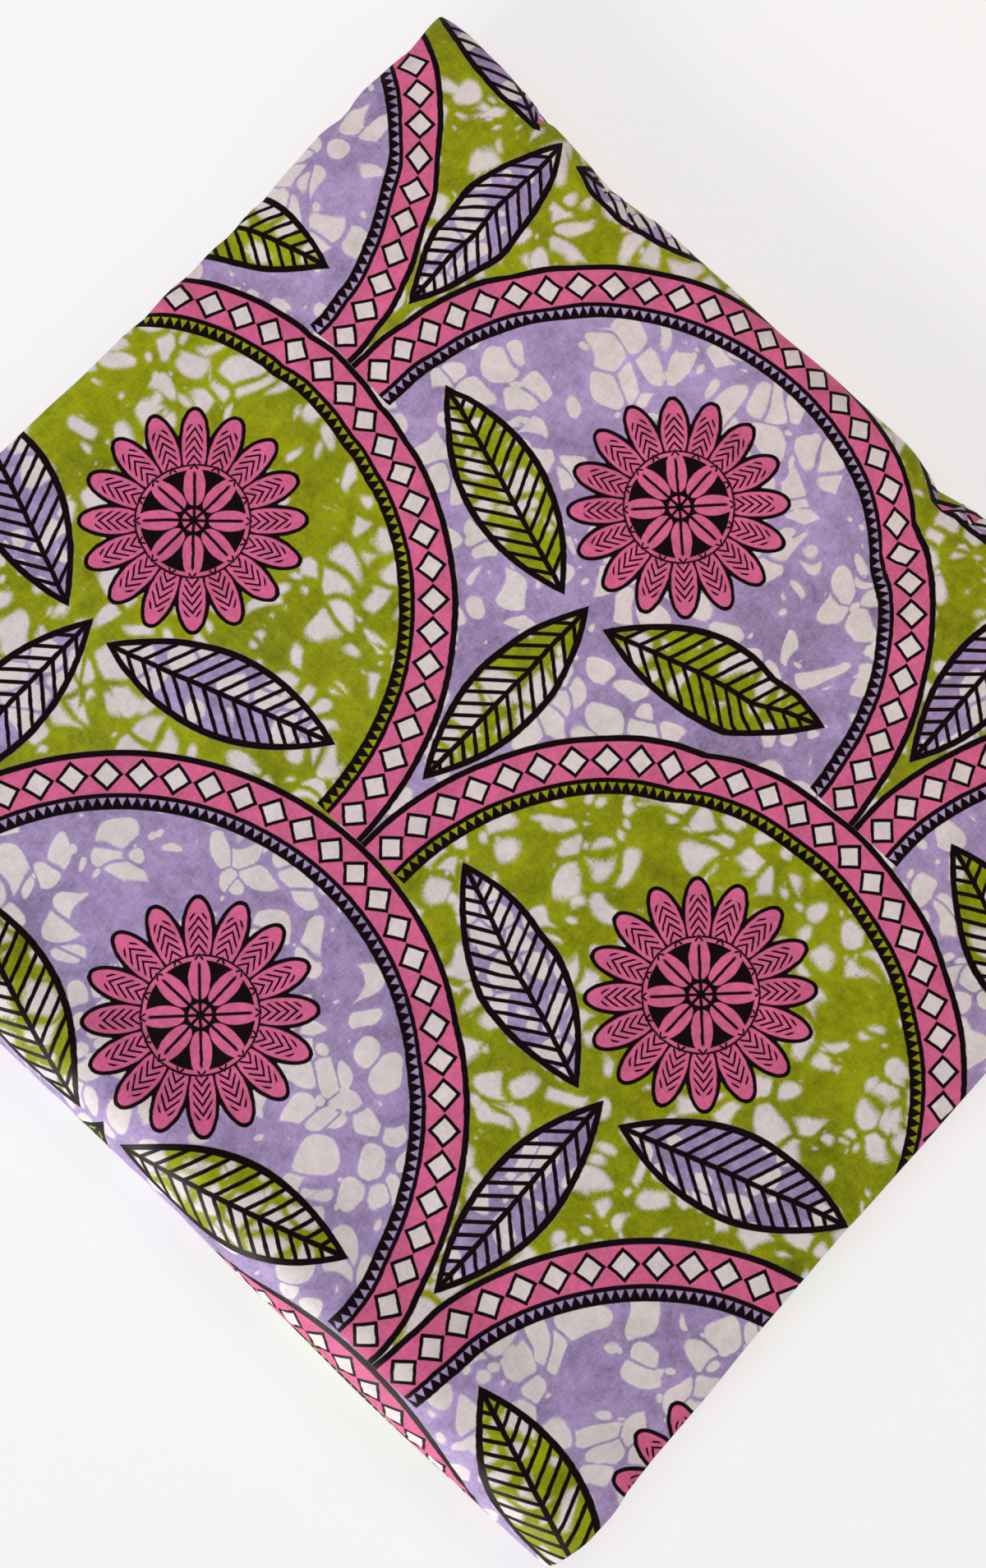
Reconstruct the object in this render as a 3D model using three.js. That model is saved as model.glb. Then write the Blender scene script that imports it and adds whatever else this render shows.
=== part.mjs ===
// A six-yard length of wax print cotton, folded into a bundle that lies flat on a table.
//
// The cloth is folded in three lengthwise, laid to and fro in seven panels, and the stack is
// then closed like a book. The spine of the book is the round side at -Y, and the loose fold
// loops lie at +Y. +X and -X are the sides where the edges of all the panels show.
//
// Millimetres, +Z up. The origin is on the table, under the middle of the bundle.
//
// Every surface comes from one mapping: a station runs from the open side over the top, round
// the spine and back along the underside; a depth goes in from the outer skin to the middle of
// the book; a column runs across the bundle in X.
import * as THREE from 'three';

// ---- driving sizes -------------------------------------------------------------------------
const HEIGHT = 36;               // thickness of the closed bundle
const PANELS = 7;                // folded lengths on each side of the book fold
const WALL = 1.8;                // one folded length: three plies, pressed together
const SEAM = 0.3;                // air between the outermost length and the layers inside
const SLIT = 1.0;                // open slit between the two halves of the book
const SPINE_REACH = 20;          // how far the round spine bulges out, in Y
const LOOP_RADIUS = 2.45;        // fold loop at the end of the top panel
const LOOP_LEG = 8;              // how far that loop is turned in under itself
const LOOP_ROOM = 1.0;           // space kept in front of the turned-in leg
const OPEN_ROLL = 15;            // strip along the open side that slopes down to the loop
const OPEN_ROLL_DROP = 3.0;      // and by how much
const SHOULDER = 9;              // strip along each X side that slopes down
const SHOULDER_DROP = 1.1;
const GROOVE = 1.3;              // grooves between the panel edges at the X sides
const TROUGH_LIMIT = 2.1;        // no soft trough in the top face is deeper than this
const BASE_END_INSET = 1.2;      // how far the underside's plain end stays behind the top edge

const MID = HEIGHT / 2;
const PITCH = MID / PANELS;
const INNER_DEPTH = WALL + SEAM;
const LAST_DEPTH = MID - SLIT / 2;
const LOOP_DEPTH = 2 * PITCH;    // the loop takes the place of the second panel's end

// ---- outline tables ------------------------------------------------------------------------
// Open side: Y of the edge of the top panel at each X.
const OPEN_EDGE = [
  { x: -196, y: 186.6 }, { x: -172, y: 186.2 }, { x: -150, y: 184.2 }, { x: -130, y: 182.6 },
  { x: -112, y: 181.2 }, { x: -88, y: 182.4 }, { x: -50, y: 183.2 }, { x: 0, y: 184.0 },
  { x: 32, y: 184.0 }, { x: 56, y: 181.5 }, { x: 78, y: 184.2 }, { x: 130, y: 184.8 },
  { x: 196, y: 183.0 },
];

// Spine: Y of the roundest line of the spine at each X.
const SPINE_EDGE = [
  { x: -196, y: -183.6 }, { x: -120, y: -184.3 }, { x: 10, y: -184.4 }, { x: 70, y: -185.6 },
  { x: 120, y: -186.6 }, { x: 196, y: -185.8 },
];

// The two X sides: distance of the fold edge from the middle plane at each Y.
const SIDE_EDGES = [
  { y: -186, left: 193.4, right: 196.0 }, { y: -165, left: 194.6, right: 197.6 },
  { y: -145, left: 195.2, right: 196.6 }, { y: -80, left: 195.4, right: 195.4 },
  { y: -40, left: 195.1, right: 195.3 }, { y: 10, left: 193.9, right: 196.2 },
  { y: 60, left: 193.9, right: 196.6 }, { y: 110, left: 195.4, right: 196.2 },
  { y: 160, left: 197.0, right: 195.6 }, { y: 186, left: 197.6, right: 194.6 },
];

// Largest soft troughs of the top face. turn is the direction of the trough in degrees from
// +X, length and width are its half sizes, depth is how far it sinks.
const TROUGHS = [
  { x: -140, y: 172, turn: 78, length: 34, width: 9, depth: 1.5 },
  { x: -106, y: 170, turn: 104, length: 40, width: 11, depth: 1.7 },
  { x: 56, y: 170, turn: 84, length: 42, width: 13, depth: 1.9 },
  { x: 140, y: 168, turn: 100, length: 30, width: 12, depth: 1.3 },
  { x: -176, y: 70, turn: 24, length: 36, width: 14, depth: 1.2 },
  { x: 40, y: -142, turn: 4, length: 150, width: 13, depth: 1.3 },
  { x: -100, y: -136, turn: -6, length: 90, width: 12, depth: 0.9 },
  { x: 30, y: 30, turn: 40, length: 110, width: 34, depth: 0.8 },
];

// Fold loops of the hidden panels at the open side, from the outside in. reach is how far the
// loop stays behind the edge of the top panel.
const TOP_LOOPS = [
  { firstPanel: 3, lastPanel: 4, reach: 3.4 },
  { firstPanel: 5, lastPanel: 6, reach: 5.2 },
  { firstPanel: 7, lastPanel: 7, reach: 8.6 },
];
const BASE_LOOPS = [
  { firstPanel: 2, lastPanel: 3, reach: 2.2 },
  { firstPanel: 4, lastPanel: 5, reach: 0.4 },
  { firstPanel: 6, lastPanel: 7, reach: 3.6 },
];
const LOOP_NOSE = 1.6;           // how far a loop's middle stands proud of its grooves

// Edge of each hidden panel at the X sides: how far it stays behind the outermost one.
const PANEL_INSETS = [
  { panel: 2, left: 1.2, right: 0.9 }, { panel: 3, left: 0.7, right: 1.7 },
  { panel: 4, left: 1.9, right: 0.8 }, { panel: 5, left: 1.1, right: 1.5 },
  { panel: 6, left: 0.8, right: 2.0 }, { panel: 7, left: 1.7, right: 1.1 },
];

// ---- fineness of the faceted surfaces ------------------------------------------------------
const TOP_STEPS = 13;
const ROLL_STEPS = 3;
const SPINE_STEPS = 12;
const BASE_STEPS = 4;
const COLUMN_REACH = 180;
const COLUMN_STEP = 20;
const TINY = 1e-6;

// ---- small helpers -------------------------------------------------------------------------
const smooth = (t) => t * t * (3 - 2 * t);
const clamp01 = (t) => Math.min(1, Math.max(0, t));
const mix = (a, b, t) => a + (b - a) * t;

/** Value of a table's column at a place, with soft transitions between its rows. */
function lookUp(table, key, column, at) {
  const next = table.findIndex((row) => row[key] >= at);
  if (next < 0) return table[table.length - 1][column];
  if (next === 0) return table[0][column];
  const low = table[next - 1];
  const high = table[next];
  return mix(low[column], high[column], smooth((at - low[key]) / (high[key] - low[key])));
}

/** Evenly spaced values, both ends included. */
function steps(from, to, count) {
  return Array.from({ length: count + 1 }, (_, i) => mix(from, to, i / count));
}

// ---- the form ------------------------------------------------------------------------------
/** Y of the edge of the top panel at the open side. */
function openEdge(x) {
  return lookUp(OPEN_EDGE, 'x', 'y', x);
}

/** How far the top face lies below its full height: rolls at the sides and soft troughs. */
function topDrop(x, y) {
  const openRoll = clamp01((y - (openEdge(x) - OPEN_ROLL)) / OPEN_ROLL);
  const sideGap = x < 0
    ? lookUp(SIDE_EDGES, 'y', 'left', y) + x
    : lookUp(SIDE_EDGES, 'y', 'right', y) - x;
  const shoulder = clamp01(1 - sideGap / SHOULDER);
  let trough = 0;
  for (const fold of TROUGHS) {
    const turn = THREE.MathUtils.degToRad(fold.turn);
    const along = (x - fold.x) * Math.cos(turn) + (y - fold.y) * Math.sin(turn);
    const across = (y - fold.y) * Math.cos(turn) - (x - fold.x) * Math.sin(turn);
    trough += fold.depth * Math.exp(-((along / fold.length) ** 2) - (across / fold.width) ** 2);
  }
  return OPEN_ROLL_DROP * openRoll ** 2 + SHOULDER_DROP * shoulder ** 2
    + TROUGH_LIMIT * Math.tanh(trough / TROUGH_LIMIT);
}

/** The drop in full down to the turned-in loop, and fading out towards the slit. */
function dropAtDepth(x, y, depth) {
  return topDrop(x, y) * Math.min(1, (LAST_DEPTH - depth) / (LAST_DEPTH - LOOP_DEPTH));
}

/** Y where the straight runs meet the round spine. */
function spineCentre(x) {
  return lookUp(SPINE_EDGE, 'x', 'y', x) + SPINE_REACH;
}

function onTop(x, y, depth) {
  return { y, z: HEIGHT - depth - dropAtDepth(x, y, depth) };
}

function onSpine(x, angle, depth) {
  const centre = spineCentre(x);
  const y = centre - (SPINE_REACH - depth) * Math.sin(angle);
  const lowered = dropAtDepth(x, centre, depth) * Math.max(0, Math.cos(angle)) ** 2;
  return { y, z: MID + (MID - depth) * Math.cos(angle) - lowered };
}

function onBase(y, depth) {
  return { y, z: depth };
}

/** Fold loop that ends the top panel: a half turn, and a leg turned in beneath it. */
function onLoop(x, angle, legLength, depth) {
  const crest = openEdge(x) - LOOP_RADIUS;
  const radius = LOOP_RADIUS - depth;
  const y = crest - legLength + radius * Math.cos(angle);
  const middle = HEIGHT - LOOP_RADIUS - topDrop(x, crest - legLength);
  return { y, z: middle + radius * Math.sin(angle) };
}

// ---- mesh of a block given by stations, depths and columns ---------------------------------
/**
 * Closed mesh of the six faces of a block of points. pointAt(i, k, j) gives the corner at
 * station i, depth k and column j; only the corners on the outside are asked for.
 */
function blockGeometry(stations, depths, columns, pointAt) {
  const positions = [];
  const seen = new Map();
  const triangles = [];

  function corner(i, k, j) {
    const key = (i * depths + k) * columns + j;
    if (!seen.has(key)) {
      seen.set(key, positions.length / 3);
      const p = pointAt(i, k, j);
      positions.push(p.x, p.y, p.z);
    }
    return seen.get(key);
  }

  function face(rows, cols, at, flipped) {
    for (let r = 0; r + 1 < rows; r += 1) {
      for (let c = 0; c + 1 < cols; c += 1) {
        const [a, b, d, e] = [at(r, c), at(r, c + 1), at(r + 1, c + 1), at(r + 1, c)];
        if (flipped) {
          triangles.push(a, d, b, a, e, d);
        } else {
          triangles.push(a, b, d, a, d, e);
        }
      }
    }
  }

  const lastStation = stations - 1;
  const lastDepth = depths - 1;
  const lastColumn = columns - 1;
  face(stations, columns, (i, j) => corner(i, 0, j), true);
  face(stations, columns, (i, j) => corner(i, lastDepth, j), false);
  face(stations, depths, (i, k) => corner(i, k, 0), false);
  face(stations, depths, (i, k) => corner(i, k, lastColumn), true);
  face(depths, columns, (k, j) => corner(0, k, j), false);
  face(depths, columns, (k, j) => corner(lastStation, k, j), true);

  const geometry = new THREE.BufferGeometry();
  geometry.setAttribute('position', new THREE.Float32BufferAttribute(positions, 3));
  geometry.setIndex(triangles);
  geometry.computeVertexNormals();
  return geometry;
}

/** X of a column: fixed places in the middle, and places counted in from each side. */
function columnX(column, y, insetLeft, insetRight) {
  if (column.from === 'left') {
    return -(lookUp(SIDE_EDGES, 'y', 'left', y) - insetLeft - column.inset);
  }
  if (column.from === 'right') {
    return lookUp(SIDE_EDGES, 'y', 'right', y) - insetRight - column.inset;
  }
  return column.x;
}

function columnList(edgeInsets, halfWidth, spacing) {
  const columns = edgeInsets.map((inset) => ({ from: 'left', inset }));
  for (let x = -halfWidth; x <= halfWidth; x += spacing) {
    columns.push({ from: 'middle', x });
  }
  const mirrored = edgeInsets.map((inset) => ({ from: 'right', inset }));
  return columns.concat(mirrored.reverse());
}

// ---- outermost folded length ---------------------------------------------------------------
const OUTER_STATIONS = [
  { run: 'loop', leg: LOOP_LEG, angle: -Math.PI / 2 },
  ...steps(-Math.PI / 2, Math.PI / 2, 6).map((angle) => ({ run: 'loop', leg: 0, angle })),
  ...steps(0, OPEN_ROLL, ROLL_STEPS).slice(1).map((back) => ({ run: 'roll', back })),
  ...steps(0, 1, TOP_STEPS).slice(1).map((share) => ({ run: 'top', share })),
  ...steps(0, Math.PI, SPINE_STEPS).slice(1).map((angle) => ({ run: 'spine', angle })),
  ...steps(0, 1, BASE_STEPS).slice(1).map((share) => ({ run: 'base', share })),
];
const OUTER_COLUMNS = columnList([0, 0.7, 2, 8], COLUMN_REACH, COLUMN_STEP);
const EDGE_ROUNDING = 0.3;       // share of the wall that a fold edge is rounded by

/** Stations that both pieces share: the roll, the flat top and the spine. */
function sharedPoint(station, x, depth) {
  const crest = openEdge(x) - LOOP_RADIUS;
  if (station.run === 'roll') return onTop(x, crest - station.back, depth);
  if (station.run === 'top') {
    return onTop(x, mix(crest - OPEN_ROLL, spineCentre(x), station.share), depth);
  }
  return onSpine(x, station.angle, depth);
}

function outerPoint(station, x, depth) {
  if (station.run === 'loop') return onLoop(x, station.angle, station.leg, depth);
  if (station.run !== 'base') return sharedPoint(station, x, depth);
  const end = openEdge(x) - BASE_END_INSET;
  return onBase(mix(spineCentre(x), end, station.share), depth);
}

function outerFold() {
  const lastColumn = OUTER_COLUMNS.length - 1;
  return blockGeometry(OUTER_STATIONS.length, 2, OUTER_COLUMNS.length, (i, k, j) => {
    const station = OUTER_STATIONS[i];
    const column = OUTER_COLUMNS[j];
    const atEdge = j === 0 || j === lastColumn;
    const rounding = atEdge ? EDGE_ROUNDING * WALL : 0;
    const depth = k === 0 ? rounding : WALL - rounding;
    // The side outline depends on Y and the section on X, so the pair is settled in two passes.
    const firstX = columnX(column, 0, 0, 0);
    const x = columnX(column, outerPoint(station, firstX, depth).y, 0, 0);
    const { y, z } = outerPoint(station, x, depth);
    return new THREE.Vector3(x, y, z);
  });
}

// ---- hidden layers -------------------------------------------------------------------------
const INNER_STATIONS = [
  { run: 'end' },
  { run: 'roll', back: OPEN_ROLL },
  ...steps(0, 1, TOP_STEPS).slice(1).map((share) => ({ run: 'top', share })),
  ...steps(0, Math.PI, SPINE_STEPS).slice(1).map((angle) => ({ run: 'spine', angle })),
  ...steps(0, 1, BASE_STEPS).slice(1).map((share) => ({ run: 'base', share })),
];
const INNER_COLUMNS = columnList([0, 7], COLUMN_REACH, COLUMN_STEP);

/** Depth levels: a groove between panels and a ridge line along each panel's edge. */
function innerLevels() {
  const levels = [{ depth: INNER_DEPTH, panel: 2, groove: true }];
  for (let panel = 2; panel <= PANELS; panel += 1) {
    const from = Math.max(INNER_DEPTH, (panel - 1) * PITCH);
    const to = panel === PANELS ? LAST_DEPTH : panel * PITCH;
    levels.push({ depth: mix(from, to, 0.5), panel, groove: false });
    levels.push({ depth: to, panel, groove: true });
  }
  return levels;
}
const INNER_LEVELS = innerLevels();

/** Y where the hidden layers end at the open side, for a depth in one half of the book. */
function loopEnd(loops, x, depth) {
  const panel = Math.ceil(depth / PITCH - TINY);
  const loop = loops.find((row) => panel >= row.firstPanel && panel <= row.lastPanel);
  if (!loop) return openEdge(x) - LOOP_RADIUS - LOOP_LEG - LOOP_ROOM;
  const from = (loop.firstPanel - 1) * PITCH;
  const across = (depth - from) / (loop.lastPanel * PITCH - from);
  const nose = LOOP_NOSE * (1 - (2 * across - 1) ** 2);
  return openEdge(x) - loop.reach - LOOP_NOSE + nose;
}

function innerPoint(station, x, depth) {
  if (station.run === 'end') return onTop(x, loopEnd(TOP_LOOPS, x, depth), depth);
  if (station.run !== 'base') return sharedPoint(station, x, depth);
  return onBase(mix(spineCentre(x), loopEnd(BASE_LOOPS, x, depth), station.share), depth);
}

function innerFolds() {
  return blockGeometry(
    INNER_STATIONS.length,
    INNER_LEVELS.length,
    INNER_COLUMNS.length,
    (i, k, j) => {
      const station = INNER_STATIONS[i];
      const column = INNER_COLUMNS[j];
      const level = INNER_LEVELS[k];
      const insets = PANEL_INSETS.find((row) => row.panel === level.panel);
      const groove = level.groove ? GROOVE : 0;
      const firstX = columnX(column, 0, insets.left, insets.right);
      const near = innerPoint(station, firstX, level.depth);
      const x = columnX(column, near.y, insets.left + groove, insets.right + groove);
      const { y, z } = innerPoint(station, x, level.depth);
      return new THREE.Vector3(x, y, z);
    },
  );
}

// ---- the bundle ----------------------------------------------------------------------------
function cloth(name, geometry, colour) {
  const material = new THREE.MeshStandardMaterial({ color: colour, roughness: 0.85, metalness: 0 });
  const mesh = new THREE.Mesh(geometry, material);
  mesh.name = name;
  return mesh;
}

const bundle = new THREE.Group();
bundle.name = 'wax_print_fabric';
bundle.add(cloth('outer_fold', outerFold(), 0x8a9a1e));
bundle.add(cloth('inner_folds', innerFolds(), 0xa68fc4));

export default bundle;
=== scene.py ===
import math

import bpy
import numpy as np
from mathutils import Matrix, Vector


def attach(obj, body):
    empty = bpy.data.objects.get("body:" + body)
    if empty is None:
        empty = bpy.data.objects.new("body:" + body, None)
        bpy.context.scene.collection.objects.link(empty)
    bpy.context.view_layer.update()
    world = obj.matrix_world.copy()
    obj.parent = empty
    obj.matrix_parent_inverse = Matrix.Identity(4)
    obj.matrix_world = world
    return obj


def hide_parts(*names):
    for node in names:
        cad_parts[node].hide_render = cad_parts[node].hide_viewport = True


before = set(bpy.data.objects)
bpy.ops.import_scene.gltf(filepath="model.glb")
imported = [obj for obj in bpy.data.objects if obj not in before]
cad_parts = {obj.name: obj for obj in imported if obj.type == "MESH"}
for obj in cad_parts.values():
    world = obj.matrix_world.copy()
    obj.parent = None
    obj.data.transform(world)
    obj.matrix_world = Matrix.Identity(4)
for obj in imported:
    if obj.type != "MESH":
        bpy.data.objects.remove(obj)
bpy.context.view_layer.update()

MM = 0.001

# ---- the bundle ----------------------------------------------------------------------------
HEIGHT = 36.0                    # thickness of the closed bundle
MID = HEIGHT / 2
PANELS = 7                       # folded lengths on each side of the book fold
SPINE_REACH = 20.0               # how far the round spine bulges out, in Y
SPINE_RADIUS = (MID + SPINE_REACH) / 2      # mean, for lengths round the spine
CLOTH_WIDTH = 1170.0             # selvedge to selvedge
CLOTH_THICKNESS = 0.40
PLY = 0.62                       # from the middle of one ply to the next
FIRST_DEPTH = PLY + CLOTH_THICKNESS / 2     # middle of the outermost panel, below the skin
LAST_DEPTH = 16.9                           # middle of the innermost panel
PITCH = (LAST_DEPTH - FIRST_DEPTH) / (PANELS - 1)
LOOP_RADIUS = PITCH / 2
LOOP_SKIN = LOOP_RADIUS + FIRST_DEPTH       # from a loop's axis to its outer skin
LOOP_PLUMPNESS = 1.15            # fold loops are longer than they are thick
RUN_LENGTH = 350.0               # nominal length of a panel's straight run
FACE_WIDTH = 390.0               # nominal width of the folded strip
FIRST_GUESS_WIDTH = 385.0        # of the strip, before its edges are looked up
LEFT_FLAP = 7.0                  # the flaps' free edges stay this far short of the other side
RIGHT_FLAP = 6.5
LEG = 8.0                        # the outermost piece ends this far inside its fold loop
PARTING = 0.4                    # gap between the two pieces of the strip

OPEN_ROLL = 15.0                 # strip along the open side that slopes down to the loop
SHOULDER = 9.0                   # strip along each X side that slopes down
LEFT_SHOULDER_DROP = 1.9
RIGHT_SHOULDER_DROP = 1.1
ROLL_POWER = 2.5                 # how late the slope sets in on its way to an edge
TROUGH_LIMIT = 2.1               # where troughs cross, they don't add up past this depth
PUCKER_STRENGTH = 1.15           # factor on the depths of the table of puckers

# Open side: Y of the edge of the top panel at each X.
OPEN_EDGE = [
    (-196, 186.4), (-184, 187.2), (-172, 186.6), (-156, 185.0), (-150, 184.4), (-146, 182.9),
    (-139, 184.2), (-124, 182.7), (-112, 181.0), (-107, 181.9), (-98, 181.4), (-90, 182.6),
    (-50, 183.2), (0, 184.0), (32, 184.1), (42, 183.0), (53, 180.6), (62, 183.6),
    (78, 184.6), (96, 183.8), (112, 184.9), (130, 184.6), (150, 185.2), (166, 183.9),
    (180, 184.6), (196, 183.0),
]
# How far the open side's roll drops at each X.
OPEN_DROP = [(-196, 3.0), (-152, 3.2), (-108, 4.0), (-90, 3.4), (0, 3.0), (30, 3.4), (56, 5.2),
             (74, 4.2), (100, 3.3), (196, 3.5)]
# Spine: Y of the roundest line of the spine at each X.
SPINE_EDGE = [
    (-196, -183.6), (-120, -184.3), (10, -184.4), (70, -185.6), (120, -186.6), (196, -185.8),
]
# The folds bulge beside the spine: at each X, how high, and how far that reaches inward.
BULGE_RISE = [(-196, 0.8), (-60, 1.0), (40, 1.3), (120, 1.9), (160, 1.8), (196, 1.4)]
BULGE_REACH = [(-196, 14), (-60, 14), (60, 17), (130, 26), (196, 30)]
# The two X sides: distance of the fold edge from the middle plane at each Y.
LEFT_EDGE = [
    (-186, 193.4), (-165, 194.6), (-145, 195.2), (-80, 195.4), (-40, 195.1), (-20, 194.9),
    (0, 194.2), (20, 194.3), (30, 193.6), (42, 194.4), (52, 193.9), (64, 194.4), (72, 193.9),
    (84, 194.6), (89, 194.1), (104, 195.4), (122, 196.6), (132, 195.4), (144, 197.1),
    (158, 196.6), (167, 195.9), (186, 197.8),
]
RIGHT_EDGE = [
    (-186, 196.0), (-178, 196.3), (-165, 197.6), (-156, 197.9), (-145, 196.6), (-110, 196.3),
    (-80, 195.4), (-40, 195.3), (-20, 195.8), (10, 196.2), (60, 196.6), (84, 195.7),
    (110, 196.4), (136, 195.4), (160, 195.8), (186, 194.6),
]
# Soft troughs of the top face: X, Y, direction in degrees from +X, half length, half width,
# depth.
TROUGHS = [
    (-140, 172, 78, 34, 9, 1.5), (-106, 170, 104, 40, 11, 1.7), (56, 170, 84, 42, 13, 1.9),
    (140, 168, 100, 30, 12, 1.3), (-176, 70, 24, 36, 14, 1.2), (40, -142, 4, 150, 13, 1.3),
    (-100, -136, -6, 90, 12, 0.9), (30, 30, 40, 110, 34, 0.8),
]
# Small puckers of the top panel, along the open side and both X sides: the same six values.
PUCKERS = [
    (-147, 181, 84, 16, 3.4, 0.80), (-124, 180, 98, 12, 4.2, 0.45), (-110, 178, 80, 20, 3.6, 0.85),
    (-97, 178, 112, 14, 3.2, 0.70), (-72, 180, 88, 14, 4.6, 0.32), (-30, 181, 96, 12, 4.8, 0.28),
    (44, 180, 70, 13, 3.6, 0.45), (53, 177, 88, 20, 3.8, 0.90), (86, 181, 82, 12, 4.0, 0.40),
    (118, 181, 100, 14, 4.2, 0.42), (160, 180, 92, 12, 4.0, 0.40), (-192, 88, 8, 14, 3.2, 0.50),
    (-192, 73, -6, 18, 3.4, 0.55), (-192, 52, 12, 15, 3.2, 0.45), (-193, 133, 4, 14, 3.6, 0.50),
    (-193, 167, -10, 16, 3.4, 0.55), (-192, 29, -4, 12, 3.4, 0.40), (192, -134, 6, 15, 4.0, 0.45),
    (192, -48, -8, 12, 4.0, 0.35), (192, 84, 5, 14, 3.8, 0.45), (192, 137, -4, 13, 3.8, 0.42),
]
# Long shallow creases along the round spine: X, arc length from the top's end of the spine,
# slant in degrees, half length, half width, depth.
SPINE_CREASES = [
    (-150, 20.6, 1.5, 46, 1.2, 0.42), (-128, 24.4, -1.0, 60, 1.0, 0.48),
    (-60, 18.8, 1.2, 52, 1.3, 0.36), (-72, 22.6, -1.6, 38, 1.0, 0.44),
    (-10, 25.6, 0.8, 55, 1.0, 0.50), (18, 21.2, -1.4, 40, 1.1, 0.42),
    (62, 23.8, 0.9, 46, 1.0, 0.46), (96, 19.2, -1.8, 36, 1.3, 0.38),
    (128, 24.8, 1.2, 58, 1.0, 0.50), (150, 21.4, -0.8, 44, 1.1, 0.48),
    (172, 17.6, 1.8, 30, 1.3, 0.40), (-160, 37.0, 1.0, 50, 1.1, 0.44),
    (-92, 33.2, -1.6, 44, 1.2, 0.40), (-20, 38.2, 0.9, 60, 1.1, 0.46),
    (52, 34.0, -1.0, 48, 1.2, 0.42), (122, 37.4, 1.6, 52, 1.1, 0.46),
    (176, 33.0, -1.8, 30, 1.2, 0.42),
]
# How far each pair's fold loop stays behind the edge of the top panel, at each X. The first
# panel of the pair gives the key; the last loop of the top half and the first of the lower half
# are the two cut ends of the cloth.
TOP_REACH = {
    1: [(-200, 0.0), (200, 0.0)],
    3: [(-200, 3.6), (-120, 2.8), (-60, 4.0), (20, 2.9), (48, 0.9), (60, -1.7), (96, -1.3),
        (130, 1.6), (200, 3.1)],
    5: [(-200, 4.8), (-90, 6.1), (10, 4.3), (110, 5.6), (200, 3.9)],
    7: [(-200, 9.0), (-60, 7.4), (60, 8.8), (200, 7.2)],
}
BASE_REACH = {
    1: [(-200, 1.6), (-40, 0.6), (90, 1.9), (200, 1.0)],
    2: [(-200, 2.6), (-80, 1.5), (60, 3.2), (200, 1.8)],
    4: [(-200, 0.2), (-20, 1.3), (120, -0.2), (200, 0.9)],
    6: [(-200, 4.6), (-110, 2.7), (40, 4.2), (200, 2.9)],
}
# How far each panel's fold edges stay behind the outermost one's, at the -X and +X sides.
INSETS = {1: (0.0, 0.0), 2: (1.2, 0.9), 3: (0.7, 1.7), 4: (1.9, 0.8), 5: (1.1, 1.5),
          6: (0.8, 2.0), 7: (1.7, 1.1)}
# Slow waves, as amplitude and wavelength.
SKIN_WAVES = [(0.10, 73), (0.08, 47), (0.05, 29), (0.03, 17)]
END_WAVES = [(0.35, 61), (0.25, 27), (0.12, 13)]
GAP_WAVES = [(0.20, 190), (0.12, 83), (0.10, 41)]
PLUMP_WAVES = [(0.16, 90), (0.10, 37)]
SWAY_WAVES = [(0.55, 150), (0.40, 61), (0.22, 27)]
LEFT_FLAP_WAVES = [(2.0, 260), (1.0, 90)]
RIGHT_FLAP_WAVES = [(3.0, 310), (1.5, 120)]
# Places along a panel's path that its slow waves follow: a run, then the spine, then back.
WAVE_RUN = 370
WAVE_LAP = 770
WAVE_PER_RADIAN = 9.0


def smooth(t):
    return t * t * (3 - 2 * t)


def mix(a, b, t):
    return a + (b - a) * t


def look_up(rows, at):
    """Value of a table at a place, with soft transitions between its rows."""
    places, values = np.array(rows, dtype=float).T
    low = np.clip(np.searchsorted(places, at) - 1, 0, len(places) - 2)
    share = np.clip((at - places[low]) / (places[low + 1] - places[low]), 0, 1)
    return mix(values[low], values[low + 1], smooth(share))


def ripple(seed, waves, *places):
    """Sum of seeded slow waves; waves lists (amplitude, wavelength)."""
    rng = np.random.default_rng(seed)
    total = 0.0
    for amplitude, wavelength in waves:
        turn = rng.uniform(0, 2 * math.pi)
        directions = (1.0,) if len(places) == 1 else (math.cos(turn), math.sin(turn))
        along = sum(d * p for d, p in zip(directions, places))
        total = total + amplitude * np.sin(2 * math.pi * along / wavelength
                                           + rng.uniform(0, 2 * math.pi))
    return total


def dents(rows, x, y):
    """Depth at a place under a table of long soft dents."""
    total = np.zeros(np.broadcast(x, y).shape)
    for cx, cy, degrees, length, width, depth in rows:
        turn = math.radians(degrees)
        along = (x - cx) * math.cos(turn) + (y - cy) * math.sin(turn)
        across = (y - cy) * math.cos(turn) - (x - cx) * math.sin(turn)
        total = total + depth * np.exp(-(along / length) ** 2 - (across / width) ** 2)
    return total


def open_edge(x):
    return look_up(OPEN_EDGE, x)


def spine_centre(x):
    """Y where the straight runs meet the round spine."""
    return look_up(SPINE_EDGE, x) + SPINE_REACH


def top_drop(x, y):
    """How far the top face lies below its full height: rolls at the sides and soft troughs,
    less the bulge beside the spine."""
    open_roll = np.clip((y - (open_edge(x) - OPEN_ROLL)) / OPEN_ROLL, 0, 1)
    gap = np.where(x < 0, look_up(LEFT_EDGE, y) + x, look_up(RIGHT_EDGE, y) - x)
    shoulder = np.clip(1 - gap / SHOULDER, 0, 1)
    shoulder_drop = np.where(x < 0, LEFT_SHOULDER_DROP, RIGHT_SHOULDER_DROP)
    trough = dents(TROUGHS, x, y)
    from_spine = np.clip(y - spine_centre(x), 0, None) / look_up(BULGE_REACH, x)
    bulge = look_up(BULGE_RISE, x) * np.exp(-from_spine ** 2)
    return (look_up(OPEN_DROP, x) * open_roll ** ROLL_POWER
            + shoulder_drop * shoulder ** ROLL_POWER
            + TROUGH_LIMIT * np.tanh(trough / TROUGH_LIMIT) - bulge)


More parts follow.
